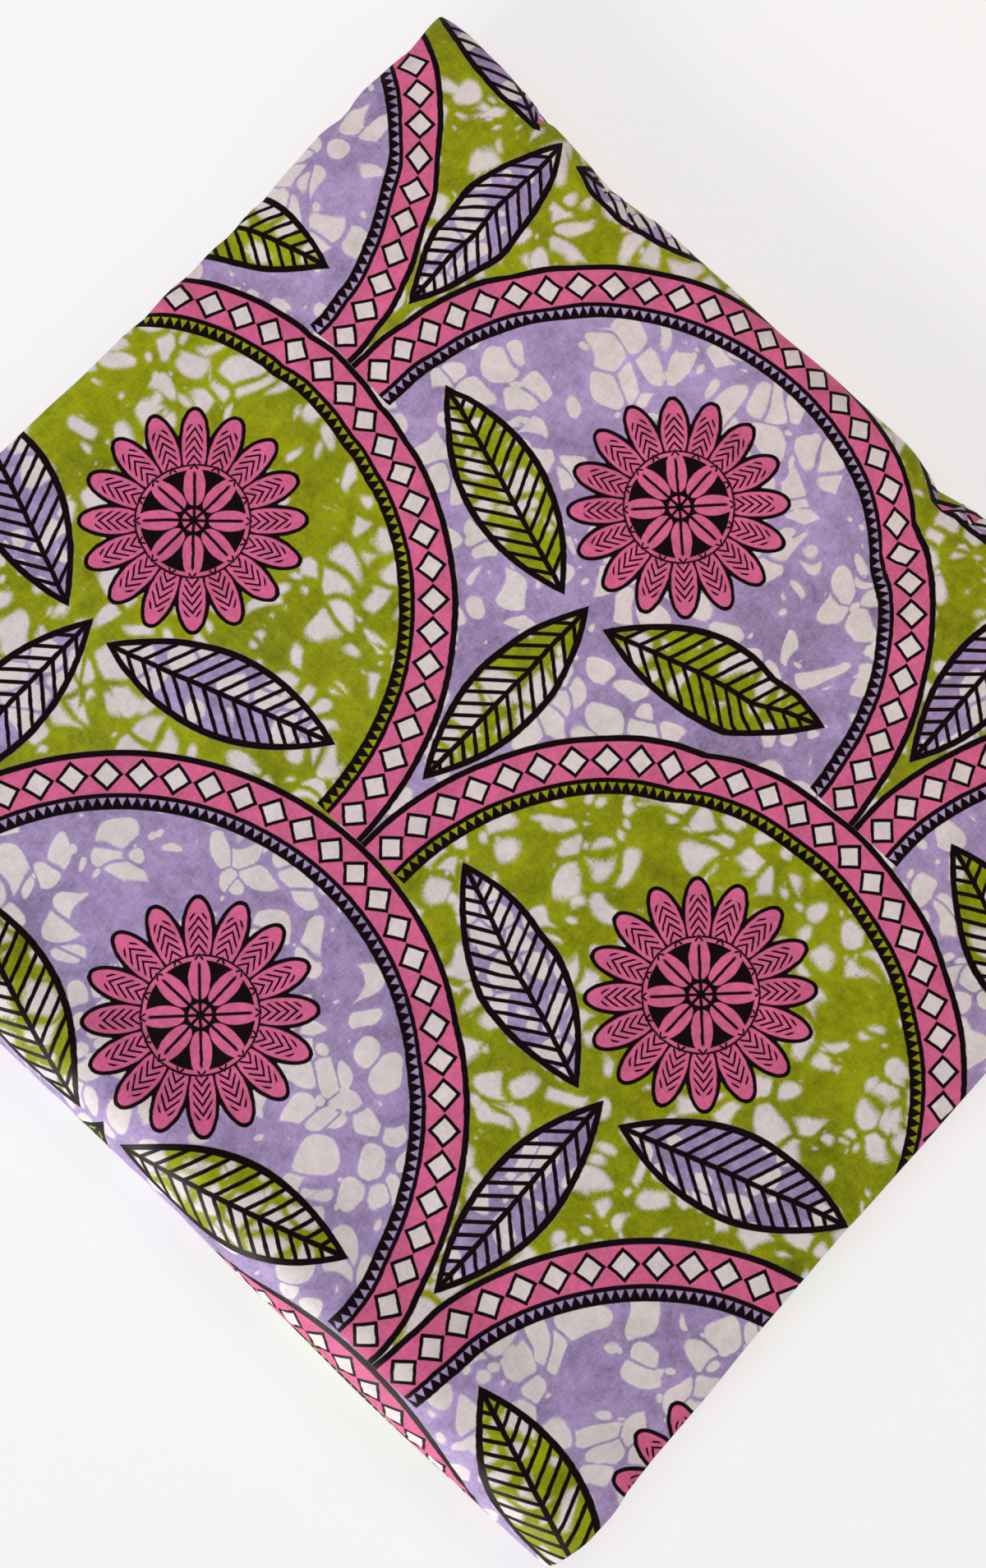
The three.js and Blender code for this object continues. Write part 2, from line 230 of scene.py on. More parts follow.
def skin_relief(x, y):
    """Puckers and slow unevenness of the top panel alone, as a small drop."""
    return dents(PUCKERS, x, y) * PUCKER_STRENGTH + ripple(11, SKIN_WAVES, x, y)


def pressed(depth):
    """Share of the top face's relief that a layer follows."""
    return np.clip((MID - depth) / (MID - 2 * PITCH), 0, 1)


def panel_depth(panel):
    return FIRST_DEPTH + (panel - 1) * PITCH


def loop_panel(panel, half):
    """First panel of the pair whose fold loop ends this panel in a half of the book."""
    if half == "top":
        return panel - 1 + panel % 2
    return panel - panel % 2 if panel > 1 else 1


def run_end(panel, half, x):
    """Y of the axis of the fold loop, or of the cut end, that ends a panel's straight run."""
    first = loop_panel(panel, half)
    reach = (TOP_REACH if half == "top" else BASE_REACH)[first]
    flutter = ripple(100 * first + len(half), END_WAVES, x)
    if half == "top" and first == 1:
        flutter = 0.0
    cut_end = panel == (PANELS if half == "top" else 1)
    return open_edge(x) - look_up(reach, x) + flutter - (0.0 if cut_end else LOOP_SKIN)


def uneven_gap(panel, x, along):
    """Small wandering of a panel in its stack, so that the gaps at the sides are uneven."""
    return ripple(7 * panel, GAP_WAVES, x, along)


# ---- stations along the path ---------------------------------------------------------------
# A station is (kind, panel, value). Its kind is "top", "base", "spine", "loop_top" or
# "loop_base". Its value is the share of a run, or the angle round the spine or the loop.
def run_shares(spacing, near_end):
    """Places along a straight run: near_end in mm from its end, then evenly to the spine."""
    count = round((RUN_LENGTH - near_end[-1]) / spacing)
    places = list(near_end) + list(np.linspace(near_end[-1], RUN_LENGTH, count + 1)[1:])
    return [place / RUN_LENGTH for place in places]


def run_stations(panel, half, shares):
    return [(half, panel, share) for share in shares]


def spine_stations(panel, steps):
    return [("spine", panel, angle) for angle in np.linspace(math.pi, 0, steps + 1)[1:-1]]


def loop_stations(panel, half, steps):
    angles = np.linspace(math.pi / 2, -math.pi / 2, steps + 1)
    return [("loop_" + half, panel, angle) for angle in angles[1:-1]]


def full_path(top_shares, base_shares, spine_steps, loop_steps):
    """Stations of all the panels in the order in which the cloth runs through them."""
    stations = []
    for panel in range(1, PANELS + 1):
        run = (run_stations(panel, "base", base_shares) + spine_stations(panel, spine_steps)
               + run_stations(panel, "top", top_shares)[::-1])
        stations += run if panel % 2 else run[::-1]
        if panel < PANELS:
            stations += loop_stations(panel, "top" if panel % 2 else "base", loop_steps)
    return stations


def place_on_spine(panel, angle, x, depth):
    """Y and Z on the round spine, where angle goes from 0 at the top to pi at the base."""
    centre = spine_centre(x)
    relief = top_drop(x, centre) * pressed(depth)
    if panel == 1:
        relief = relief + skin_relief(x, centre)
        inward = dents(SPINE_CREASES, x, SPINE_RADIUS * angle)
    else:
        inward = uneven_gap(panel, x, WAVE_RUN + WAVE_PER_RADIAN * angle)
    upper = max(0.0, math.cos(angle))
    y = centre - (SPINE_REACH - depth - inward) * math.sin(angle)
    z = MID + (MID - depth - inward) * math.cos(angle) - relief * upper ** 2
    return y, z


def place(station, x, offset):
    """Y and Z of points of one station. offset is the ply's place, positive on the print face."""
    kind, panel, value = station
    side = 1 if panel % 2 else -1
    depth = panel_depth(panel) - side * offset
    if kind == "spine":
        return place_on_spine(panel, value, x, depth)
    half = kind.removeprefix("loop_")
    if kind != half:
        radius = LOOP_RADIUS + side * offset
        plump = LOOP_PLUMPNESS + ripple(31 * panel, PLUMP_WAVES, x)
        y = run_end(panel, half, x) + radius * plump * np.cos(value)
        depth = panel_depth(panel) + LOOP_RADIUS - radius * math.sin(value)
        along = 0.0
    else:
        y = mix(run_end(panel, half, x), spine_centre(x), value)
        along = WAVE_RUN * value if half == "top" else WAVE_LAP - WAVE_RUN * value
    under_skin = panel == 1 or (panel == 2 and half == "top")
    wander = 0.0 if under_skin else uneven_gap(panel, x, along)
    if half == "base":
        return y, depth + wander
    relief = top_drop(x, y) * pressed(depth)
    if panel == 1:
        relief = relief + skin_relief(x, y)
    return y, HEIGHT - depth - relief - wander


# ---- the section: three plies across the bundle --------------------------------------------
def face_shares(spacing, near_edge):
    """Shares of the bundle's width: near_edge in mm from both sides, evenly between."""
    middle = np.arange(near_edge[-1] + spacing, FACE_WIDTH - near_edge[-1] - spacing / 2, spacing)
    far_edge = FACE_WIDTH - np.array(near_edge[::-1])
    return np.concatenate([near_edge, middle, far_edge]) / FACE_WIDTH


def section(face, flap, turn_steps):
    """Columns from the left flap's free edge to the right flap's: share of the width, shift in
    X, offset of the ply, and the part that the column belongs to."""
    left_radius = PLY / 2
    right_radius = PLY
    turns = np.linspace(-math.pi / 2, math.pi / 2, turn_steps + 1)[1:-1]
    columns = [(share, 0.0, 0.0, "left") for share in flap[::-1]]
    columns += [(0.0, -left_radius * math.cos(a), left_radius * (1 + math.sin(a)), "turn")
                for a in turns]
    columns += [(share, 0.0, PLY, "face") for share in face]
    columns += [(1.0, right_radius * math.cos(a), right_radius * math.sin(a), "turn")
                for a in turns[::-1]]
    columns += [(share, 0.0, -PLY, "right") for share in flap[::-1]]
    return columns


def insets(station):
    """How far a station's fold edges stay behind the outermost ones, at both X sides."""
    kind, panel, value = station
    if not kind.startswith("loop"):
        return INSETS[panel]
    turned = 0.5 - 0.5 * math.sin(value)
    return [mix(a, b, turned) for a, b in zip(INSETS[panel], INSETS[panel + 1])]


def strip_points(stations, columns):
    """Positions of all the points, a row for each station."""
    share, shift, offset = (np.array([column[i] for column in columns]) for i in range(3))
    left_flap = np.array([column[3] == "left" for column in columns])
    right_flap = np.array([column[3] == "right" for column in columns])
    left_room = CLOTH_THICKNESS / 2 + PLY / 2
    right_room = CLOTH_THICKNESS / 2 + PLY
    points = np.zeros((len(stations), len(columns), 3))
    for i, station in enumerate(stations):
        panel = station[1]
        inset_left, inset_right = insets(station)
        x = (share - 0.5) * FIRST_GUESS_WIDTH
        for _ in range(2):
            y, z = place(station, x, offset)
            sway = ripple(panel, SWAY_WAVES, y) if panel > 1 else 0.0
            left = left_room - (look_up(LEFT_EDGE, y) - inset_left - sway)
            right = look_up(RIGHT_EDGE, y) - inset_right - sway - right_room
            x = left + share * (right - left) + shift
        free_left = LEFT_FLAP + ripple(50 + panel, LEFT_FLAP_WAVES, y)
        free_right = RIGHT_FLAP + ripple(60 + panel, RIGHT_FLAP_WAVES, y)
        x = np.where(left_flap, x - free_left * share, x)
        x = np.where(right_flap, x + free_right * (1 - share), x)
        points[i] = np.stack([x, y, z], axis=-1)
    return points


def flat_coordinates(points, columns):
    """Arc lengths of the points: across the section and along the path, in mm."""
    across = np.linalg.norm(np.diff(points, axis=1), axis=2).mean(axis=0)
    across = np.concatenate([[0], np.cumsum(across)])
    face = [j for j, column in enumerate(columns) if column[3] == "face"]
    along = np.linalg.norm(np.diff(points[:, face], axis=0), axis=2).mean(axis=1)
    along = np.concatenate([[0], np.cumsum(along)])
    return across * CLOTH_WIDTH / across[-1], along


def cloth_object(name, points, across, along, bake):
    """A thin sheet through the points, with its flat places and its bake map."""
    rows, cols = points.shape[:2]
    mesh = bpy.data.meshes.new(name)
    index = np.arange(rows * cols).reshape(rows, cols)
    quads = np.stack([index[:-1, :-1], index[:-1, 1:], index[1:, 1:], index[1:, :-1]], axis=-1)
    quads = quads.reshape(-1, 4)
    mesh.from_pydata((points.reshape(-1, 3) * MM).tolist(), [], quads.tolist())
    corners = quads.reshape(-1)
    cloth_map = mesh.uv_layers.new(name="cloth")
    flat = np.stack(np.broadcast_arrays(across[None, :], along[:, None]), axis=-1)
    cloth_map.data.foreach_set("uv", (flat.reshape(-1, 2)[corners] * MM).ravel())
    bake_map = mesh.uv_layers.new(name="OFBake")
    bake_map.data.foreach_set("uv", bake.reshape(-1, 2)[corners].ravel())
    mesh.polygons.foreach_set("use_smooth", np.ones(len(quads), dtype=bool))
    mesh.update()
    piece = bpy.data.objects.new(name, mesh)
    bpy.context.scene.collection.objects.link(piece)
    shell = piece.modifiers.new("thickness", "SOLIDIFY")
    shell.thickness = CLOTH_THICKNESS * MM
    shell.offset = 0.0
    return piece


def spread(values, weights):
    """Positions from 0 to 1 whose steps follow the given weights of the steps of values."""
    steps = np.diff(values) * weights
    total = np.concatenate([[0], np.cumsum(steps)])
    return total / total[-1]


def bake_grid(across, across_weights, along, along_weights):
    """Bake map of a strip. Parts with a larger weight get a larger share of the map."""
    return np.stack(np.broadcast_arrays(spread(across, across_weights)[None, :],
                                        spread(along, along_weights)[:, None]), axis=-1)


# The top face takes most of the outer map; the hidden flaps and the underside are squeezed.
OUTER_ACROSS_WEIGHT = {"left": 0.02, "right": 0.02, "face": 1.0, "turn": 6.0}
OUTER_ALONG_WEIGHT = {"base": 0.10, "spine": 1.0, "top": 1.0, "loop_top": 1.5}
# The fold edges at the X sides and the loops take most of the inner one.
EDGE_STRIP = 5.0
EDGE_WEIGHT, HIDDEN_WEIGHT, LOOP_WEIGHT = 6.0, 0.06, 5.0


def outer_bake(columns, stations, across, along):
    parts = [column[3] for column in columns]
    steps = [b if a == "face" else a for a, b in zip(parts[:-1], parts[1:])]
    return bake_grid(across, np.array([OUTER_ACROSS_WEIGHT[part] for part in steps]),
                     along, np.array([OUTER_ALONG_WEIGHT[s[0]] for s in stations[1:]]))


def inner_bake(columns, stations, across, along):
    inset = np.array([min(column[0], 1 - column[0]) for column in columns])
    near = np.minimum(inset[:-1], inset[1:]) < EDGE_STRIP / FACE_WIDTH
    turning = np.array([column[3] == "turn" for column in columns])
    visible = near | turning[:-1] | turning[1:]
    loops = np.array([s[0].startswith("loop") for s in stations[1:]])
    return bake_grid(across, np.where(visible, EDGE_WEIGHT, HIDDEN_WEIGHT),
                     along, np.where(loops, LOOP_WEIGHT, 1.0))


def second_panel_start(path):
    """Index of the first station past the first fold loop."""
    return next(i for i, s in enumerate(path) if s[:2] == ("top", 2))


# The top face is the finest part of the mesh; flaps, underside and hidden panels are coarser.
outer_path = full_path(top_shares=run_shares(spacing=4.6, near_end=[0, 1.5, 3, 5, 8, 12, 17]),
                       base_shares=run_shares(spacing=18, near_end=[0, 3, 8]),
                       spine_steps=90, loop_steps=8)
outer_stations = outer_path[:second_panel_start(outer_path)]
outer_stations += [("top", 2, reach / RUN_LENGTH) for reach in (0.0, LEG / 2, LEG - PARTING)]
outer_columns = section(face=face_shares(spacing=5, near_edge=[0, 0.8, 2, 4, 7]),
                        flap=face_shares(spacing=20, near_edge=[0, 3, 8]), turn_steps=6)

inner_shares = run_shares(spacing=13, near_end=[0, 2, 5, 9])
inner_path = full_path(top_shares=inner_shares, base_shares=inner_shares,
                       spine_steps=12, loop_steps=7)
leg_end = LEG / RUN_LENGTH
inner_stations = [("top", 2, leg_end)]
inner_stations += [s for s in inner_path[second_panel_start(inner_path):]
                   if s[:2] != ("top", 2) or s[2] > leg_end]
inner_columns = section(face=face_shares(spacing=20, near_edge=[0, 1.2, 3.5, 8]),
                        flap=face_shares(spacing=30, near_edge=[0, 1.5, 5]), turn_steps=5)

outer_points = strip_points(outer_stations, outer_columns)
inner_points = strip_points(inner_stations, inner_columns)
outer_across, outer_along = flat_coordinates(outer_points, outer_columns)
inner_across, inner_along = flat_coordinates(inner_points, inner_columns)
inner_along = inner_along + outer_along[-1] + PARTING

outer_cloth = cloth_object(
    "outer_folded_length", outer_points, outer_across, outer_along,
    outer_bake(outer_columns, outer_stations, outer_across, outer_along))
inner_cloth = cloth_object(
    "inner_folded_lengths", inner_points, inner_across, inner_along,
    inner_bake(inner_columns, inner_stations, inner_across, inner_along))

# ---- the print -----------------------------------------------------------------------------
LIME = (0.300, 0.330, 0.0045)
LILAC = (0.405, 0.298, 0.528)
WHITE = (0.81, 0.73, 0.715)
PINK = (0.735, 0.143, 0.303)
BLACK = (0.0052, 0.0010, 0.0019)

PRINT_SHIFT = (-573.0, -640.0)   # puts a scallop's middle near the middle of the top
PRINT_JITTER = (0.45, 0.35)      # how far a printed line wanders, across and along the cloth
SELVEDGE = 6.0                   # plain strip along both long edges of the cloth
SOFT = 0.35                      # width of a printed edge

SCALE_RADIUS = 120.0             # of the scallops that the ground is divided into
LINE = 2.2                       # black outline of a scallop
BAND = 12.6                      # pink band that edges each scallop
STRIP = 5.6                      # black strip inside the band
LOZENGES = 30                    # on half a turn of the band
LOZENGE_REACH = 4.1              # from the middle of a lozenge to its points
LOZENGE_OUTLINE = 1.7
TEETH = 96                       # on half a turn of the strip
TOOTH_TIP = 1.25                 # inward from the middle of the teeth
TOOTH_FOOT = 1.4                 # outward from it
TOOTH_SLOPE = 0.5
# Depths below a scallop's rim:
BAND_MIDDLE = LINE + BAND / 2
TEETH_MIDDLE = LINE + BAND + STRIP / 2 + 0.2
STRIP_END = LINE + BAND + STRIP

# A leaf: X and Y of its root, direction in degrees, length, half width.
TAIL_LEAF = (0.0, -6.0, -90, 84, 13.5)
SIDE_LEAF = (9.0, -9.0, 19, 86, 15.5)
LEAF_OUTLINE = 2.5
MIDRIB_HALF_WIDTH = 0.95
HATCH_PITCH = 5.6
HATCH_SLANT = 0.85
HATCH_HALF_WIDTH = 0.17          # as a share of the pitch
HATCH_SOFT = 0.07                # width of its edge, as a share too

# A ring of petals: count, radius of its middle, half length and half width of a petal.
OUTER_PETALS = (16, 27.6, 11.2, 4.5)
INNER_PETALS = (8, 12.6, 7.4, 3.7)
FLOWER_UP = 42.0                 # from the scallop's middle to the flower's
FLOWER_OUTLINE = 1.5
OUTER_START, OUTER_END = 20.3, 39.0     # radii that clip the petals
OUTLINE_END = 40.2
INNER_END = 20.4
GROUND_DISC = 30.5               # radius of the black disc behind the petals
RING_RADIUS, RING_HALF_WIDTH = 18.9, 0.62
HEART_RADIUS, HEART_HOLE = 3.9, 1.5
RIB_PITCH = 3.1                  # of the slanting lines on the outer petals
RIB_SLANT = 1.3
RIB_HALF_WIDTH = 0.19            # as a share of the pitch
RIB_SOFT = 0.12
RIB_MARGIN = 1.2                 # between their ends and the petal's edge
RIB_END = 34.0
VEIN_HALF_WIDTH = 0.55           # of the line along an inner petal
VEIN_END = 17.0

LARGE_CELLS, LARGEST_BLOB = 11.2, 6.3       # size of the cells, radius of the largest blob
SMALL_CELLS, LARGEST_SPOT, SPOT_ROUNDING = 6.6, 2.5, 1.0
WARP, WARP_SIZE = 17.0, 26.0     # how far slow noise bends the cells, and its own size
CLUSTER_SIZE = 36.0              # of the areas with more or fewer blobs
# On lime and on lilac:
CRACK = (1.30, 0.52)             # dyed line between two blobs
DYED_SHARE = (0.24, 0.20)        # of the cells
CLUSTERING = (0.7, 1.2)
ROUNDING = (1.9, 1.2)            # of a blob's corners
SPOT_RARITY = (0.52, 0.655)
FLECKS = (2.7, 0.4)              # strength of the grain at a blob's edge
SHARPNESS = (0.62, 1.65)         # of that edge
EATEN_LIME, EATEN_MOTTLE, EATEN_LILAC = 3.0, 34.0, 1.8      # dye let in by cracked wax
HALO, HALO_SHIFT = 7.0, 1.5      # strip of lighter dye round the wax: width, shift outward
YARN = 0.36                      # from one yarn to the next


class Field:
    """A number over the cloth, made of node sockets joined by arithmetic."""

    def __init__(self, tree, source):
        self.tree = tree
        self.source = source

    def math(self, operation, *others, clamp=False):
        node = self.tree.nodes.new("ShaderNodeMath")
        node.operation = operation
        node.use_clamp = clamp
        for socket, value in zip(node.inputs, (self, *others)):
            if isinstance(value, Field):
                self.tree.links.new(value.source, socket)
            else:
                socket.default_value = value
        return Field(self.tree, node.outputs[0])

    def __add__(self, other):
        return self.math("ADD", other)

    __radd__ = __add__

    def __sub__(self, other):
        return self.math("SUBTRACT", other)

    def __rsub__(self, other):
        return self.math("MULTIPLY_ADD", -1.0, other)

    def __mul__(self, other):
        return self.math("MULTIPLY", other)

    __rmul__ = __mul__

    def __truediv__(self, other):
        return self.math("DIVIDE", other)

    def size(self):
        return self.math("ABSOLUTE")

    def root(self):
        return self.math("SQRT")

    def least(self, other):
        return self.math("MINIMUM", other)

    def most(self, other):
        return self.math("MAXIMUM", other)

    def from_middle(self):
        """Distance from the middle of the unit step that the field is in."""
        return (self.math("FRACT") - 0.5).size()

    def inside(self, soft=SOFT):
        """1 where the field is positive, 0 where it is negative, with a soft edge."""
        return self.math("MULTIPLY_ADD", 1 / soft, 0.5, clamp=True)


def blend(a, b, share):
    """Field that goes from a to b."""
    return share * (b - a) + a


def paint(tree, below, colour, mask):
    """A colour laid over another where the mask is 1."""
    node = tree.nodes.new("ShaderNodeMix")
    node.data_type = "RGBA"
    tree.links.new(mask.source, node.inputs["Factor"])
    for socket, value in ((node.inputs[6], below), (node.inputs[7], colour)):
        if isinstance(value, tuple):
            socket.default_value = (*value, 1.0)
        else:
            tree.links.new(value, socket)
    return node.outputs[2]


def shade(tree, colour, factor):
    """A colour made lighter or darker by a field."""
    node = tree.nodes.new("ShaderNodeVectorMath")
    node.operation = "SCALE"
    if isinstance(colour, tuple):
        node.inputs[0].default_value = colour
    else:
        tree.links.new(colour, node.inputs[0])
    tree.links.new(factor.source, node.inputs["Scale"])
    return node.outputs[0]


def noise_node(tree, place_socket, size, detail=1.0, roughness=0.5):
    node = tree.nodes.new("ShaderNodeTexNoise")
    node.noise_dimensions = "2D"
    node.inputs["Scale"].default_value = 1 / size
    node.inputs["Detail"].default_value = detail
    node.inputs["Roughness"].default_value = roughness
    tree.links.new(place_socket, node.inputs["Vector"])
    return node


def noise(tree, place_socket, size, **options):
    """Noise about 0, in roughly -0.5 to 0.5, with features of the given size in mm."""
    return Field(tree, noise_node(tree, place_socket, size, **options).outputs["Fac"]) - 0.5


def threads(tree, place_socket):
    """Uneven yarns that run both ways."""
    total = None
    for stretch in ((2.6, 0.22, 1.0), (0.22, 2.6, 1.0)):
        mapping = tree.nodes.new("ShaderNodeVectorMath")
        mapping.operation = "MULTIPLY"
        mapping.inputs[1].default_value = stretch
        tree.links.new(place_socket, mapping.inputs[0])
        slub = noise(tree, mapping.outputs[0], size=1.0)
        total = slub if total is None else total + slub
    return total


def cells(tree, place_socket, size, feature):
    node = tree.nodes.new("ShaderNodeTexVoronoi")
    node.voronoi_dimensions = "2D"
    node.feature = feature
    node.inputs["Scale"].default_value = 1 / size
    tree.links.new(place_socket, node.inputs["Vector"])
    return node


def wax_layer(tree, place_socket, size, threshold, largest, crack, rounding):
    """Rounded cells kept white by wax: positive inside, in mm. Cells whose chance is under the
    threshold are dyed, and largest is the radius that a cell can reach."""
    nearest = cells(tree, place_socket, size, "F1")
    edge = cells(tree, place_socket, size, "DISTANCE_TO_EDGE")
    split = tree.nodes.new("ShaderNodeSeparateColor")
    tree.links.new(nearest.outputs["Color"], split.inputs[0])
    chance = Field(tree, split.outputs[0])
    reach = ((chance - threshold) * (size * 1.5)).least(largest)
    disc = reach - Field(tree, nearest.outputs["Distance"]) * size
    cell = Field(tree, edge.outputs["Distance"]) * size - crack
    return disc.math("SMOOTH_MIN", cell, rounding)


def wax_blobs(tree, place_socket, lilac, mottle):
    """White blobs of two sizes, rounder and further apart on lime than on lilac."""
    warp = noise_node(tree, place_socket, WARP_SIZE)
    bent = tree.nodes.new("ShaderNodeVectorMath")
    bent.operation = "MULTIPLY_ADD"
    bent.inputs[1].default_value = (WARP, WARP, 0.0)
    tree.links.new(warp.outputs["Color"], bent.inputs[0])
    tree.links.new(place_socket, bent.inputs[2])
    cluster = noise(tree, place_socket, CLUSTER_SIZE)
    crack = blend(*CRACK, lilac) + mottle * 1.3
    threshold = blend(*DYED_SHARE, lilac) - cluster * blend(*CLUSTERING, lilac)
    large = wax_layer(tree, bent.outputs[0], LARGE_CELLS, threshold, LARGEST_BLOB, crack,
                      blend(*ROUNDING, lilac))
    rare = threshold * 0.5 + blend(*SPOT_RARITY, lilac)
    small = wax_layer(tree, bent.outputs[0], SMALL_CELLS, rare, LARGEST_SPOT, crack * 0.8,
                      SPOT_ROUNDING)
    return large.most(small)


def wax_white(wax, lilac, mottle, grain):
    """White share of the ground: speckled and eaten edges on lime, crisp ones on lilac."""
    fleck = grain * blend(*FLECKS, lilac)
    eaten_lime = mottle.most(0.0) * EATEN_MOTTLE + EATEN_LIME
    eaten = grain.most(0.0) * blend(eaten_lime, EATEN_LILAC, lilac)
    sharpness = blend(*SHARPNESS, lilac)
    return ((wax - eaten + fleck) * sharpness).math("ADD", 0.5, clamp=True)


def scallops(u, v):
    """Local place in its scallop, depth below the scallop's rim, turn, and colour by row."""
    row = (v / SCALE_RADIUS).math("FLOOR")
    odd = row.math("FLOORED_MODULO", 2.0)
    y = v - row * SCALE_RADIUS
    x = (u - odd * SCALE_RADIUS).math("WRAP", SCALE_RADIUS, -SCALE_RADIUS)
    rim = SCALE_RADIUS - (x * x + y * y).root()
    own = rim.math("GREATER_THAN", 0.0)
    other_x = (x + SCALE_RADIUS).math("WRAP", SCALE_RADIUS, -SCALE_RADIUS)
    local_x = blend(other_x, x, own)
    local_y = y - SCALE_RADIUS + own * SCALE_RADIUS
    lilac_row = (odd + own).math("COMPARE", 1.0, 0.25)
    return local_x, local_y, rim, y.math("ARCTAN2", x), lilac_row


def leaf(x, y, root_x, root_y, degrees, length, half_width):
    """A pointed leaf: positive inside, with the places along and across it."""
    cx, cy = math.cos(math.radians(degrees)), math.sin(math.radians(degrees))
    dx, dy = x - root_x, y - root_y
    along = dx * cx + dy * cy
    across = (dx * cy - dy * cx).size()
    t = along / length
    belly = (t - t * t) * (4 * half_width)
    return belly - across, along, across


def leaf_masks(x, y):
    """Whole leaves and their black lines: one in the tail of each scallop, a pair beside it."""
    tail, tail_along, tail_across = leaf(x, y, *TAIL_LEAF)
    side, side_along, side_across = leaf(x.size(), y, *SIDE_LEAF)
    is_side = side.math("GREATER_THAN", tail)
    field = side.most(tail)
    along = blend(tail_along, side_along, is_side)
    across = blend(tail_across, side_across, is_side)
    in_leaf = field.inside()
    hatch = HATCH_HALF_WIDTH - ((along - across * HATCH_SLANT) / HATCH_PITCH).from_middle()
    lines = hatch.inside(HATCH_SOFT).most((MIDRIB_HALF_WIDTH - across).inside())
    return in_leaf, in_leaf * lines.most((LEAF_OUTLINE - field).inside())


def petals(radius, turn, count, middle, half_length, half_width):
    """A ring of petals: a function of how much they are grown, and the place across them."""
    sector = 2 * math.pi / count
    across = (turn / sector + 0.5).from_middle() * sector * radius

    def lens(grow):
        along = (radius - middle) / (half_length + grow)
        core = 1.0 - along * along
        width = (core.most(0.0).root() + core.least(0.0) * 4.0) * (half_width + grow)
        return width - across

    return lens, across


def flower_masks(x, y):
    """Black and pink shares of a many-petalled flower."""
    radius = (x * x + y * y).root()
    turn = x.math("ARCTAN2", y)
    outer_lens, outer_across = petals(radius, turn, *OUTER_PETALS)
    inner_lens, inner_across = petals(radius, turn, *INNER_PETALS)
    outer, inner = outer_lens(0.0), inner_lens(0.0)
    ground = outer_lens(FLOWER_OUTLINE).least(OUTLINE_END - radius).most(GROUND_DISC - radius)
    rib = RIB_HALF_WIDTH - ((radius + outer_across * RIB_SLANT) / RIB_PITCH).from_middle()
    ribs = rib.least((outer - RIB_MARGIN) * 0.35).least((RIB_END - radius) * 0.3)
    vein = (VEIN_HALF_WIDTH - inner_across).least((VEIN_END - radius) * 0.5)
    ring = RING_HALF_WIDTH - (radius - RING_RADIUS).size()
    heart = (HEART_RADIUS - radius).least(radius - HEART_HOLE)
    pink = outer.least(radius - OUTER_START).least(OUTER_END - radius)
    pink = pink.most(inner.least(INNER_END - radius)).most(ring).most(heart)
    pink_share = pink.inside() * (1.0 - ribs.inside(RIB_SOFT)) * (1.0 - vein.inside())
    return ground.inside(), pink_share


def rim_masks(rim, turn):
    """Edge of a scallop: its black ground, pink band, lozenge outlines, lozenges, teeth."""
    lozenge_pitch = math.pi * (SCALE_RADIUS - BAND_MIDDLE) / LOZENGES
    from_band = (rim - BAND_MIDDLE).size()
    step = (turn * (LOZENGES / math.pi)).from_middle() * lozenge_pitch
    lozenge = LOZENGE_REACH - step - from_band
    tooth_pitch = math.pi * (SCALE_RADIUS - TEETH_MIDDLE) / TEETH
    beside = (turn * (TEETH / math.pi)).from_middle() * tooth_pitch
    height = rim - TEETH_MIDDLE
    tooth = ((TOOTH_TIP - height) * TOOTH_SLOPE - beside).least(height + TOOTH_FOOT)
    in_edge = rim.inside() * (STRIP_END - rim).inside()
    in_band = (BAND / 2 - from_band).inside()
    return (in_edge, in_band, in_band * (lozenge + LOZENGE_OUTLINE).inside(),
            in_band * lozenge.inside(), in_edge * tooth.inside())


def cloth_place(tree):
    """Place on the flat cloth in mm: as a vector socket and as two fields."""
    uv = tree.nodes.new("ShaderNodeUVMap")
    uv.uv_map = "cloth"
    scaled = tree.nodes.new("ShaderNodeVectorMath")
    scaled.operation = "SCALE"
    scaled.inputs["Scale"].default_value = 1 / MM
    tree.links.new(uv.outputs[0], scaled.inputs[0])
    split = tree.nodes.new("ShaderNodeSeparateXYZ")
    tree.links.new(scaled.outputs[0], split.inputs[0])
    return scaled.outputs[0], Field(tree, split.outputs[0]), Field(tree, split.outputs[1])


def cotton_shader(tree, colour, height):
    """Matt cotton with a faint wax glaze, and the weave as a fine bump."""
    shader = tree.nodes.new("ShaderNodeBsdfPrincipled")
    for name, value in (("Roughness", 0.80), ("Sheen Weight", 0.16), ("Sheen Roughness", 0.30),
                        ("Specular IOR Level", 0.05), ("Coat Weight", 0.28),
                        ("Coat Roughness", 0.42)):
        shader.inputs[name].default_value = value
    tree.links.new(colour, shader.inputs["Base Color"])
    bump = tree.nodes.new("ShaderNodeBump")
    bump.inputs["Strength"].default_value = 0.35
    bump.inputs["Distance"].default_value = 0.06 * MM
    tree.links.new(height.source, bump.inputs["Height"])
    tree.links.new(bump.outputs[0], shader.inputs["Normal"])
    output = tree.nodes.new("ShaderNodeOutputMaterial")
    tree.links.new(shader.outputs[0], output.inputs[0])


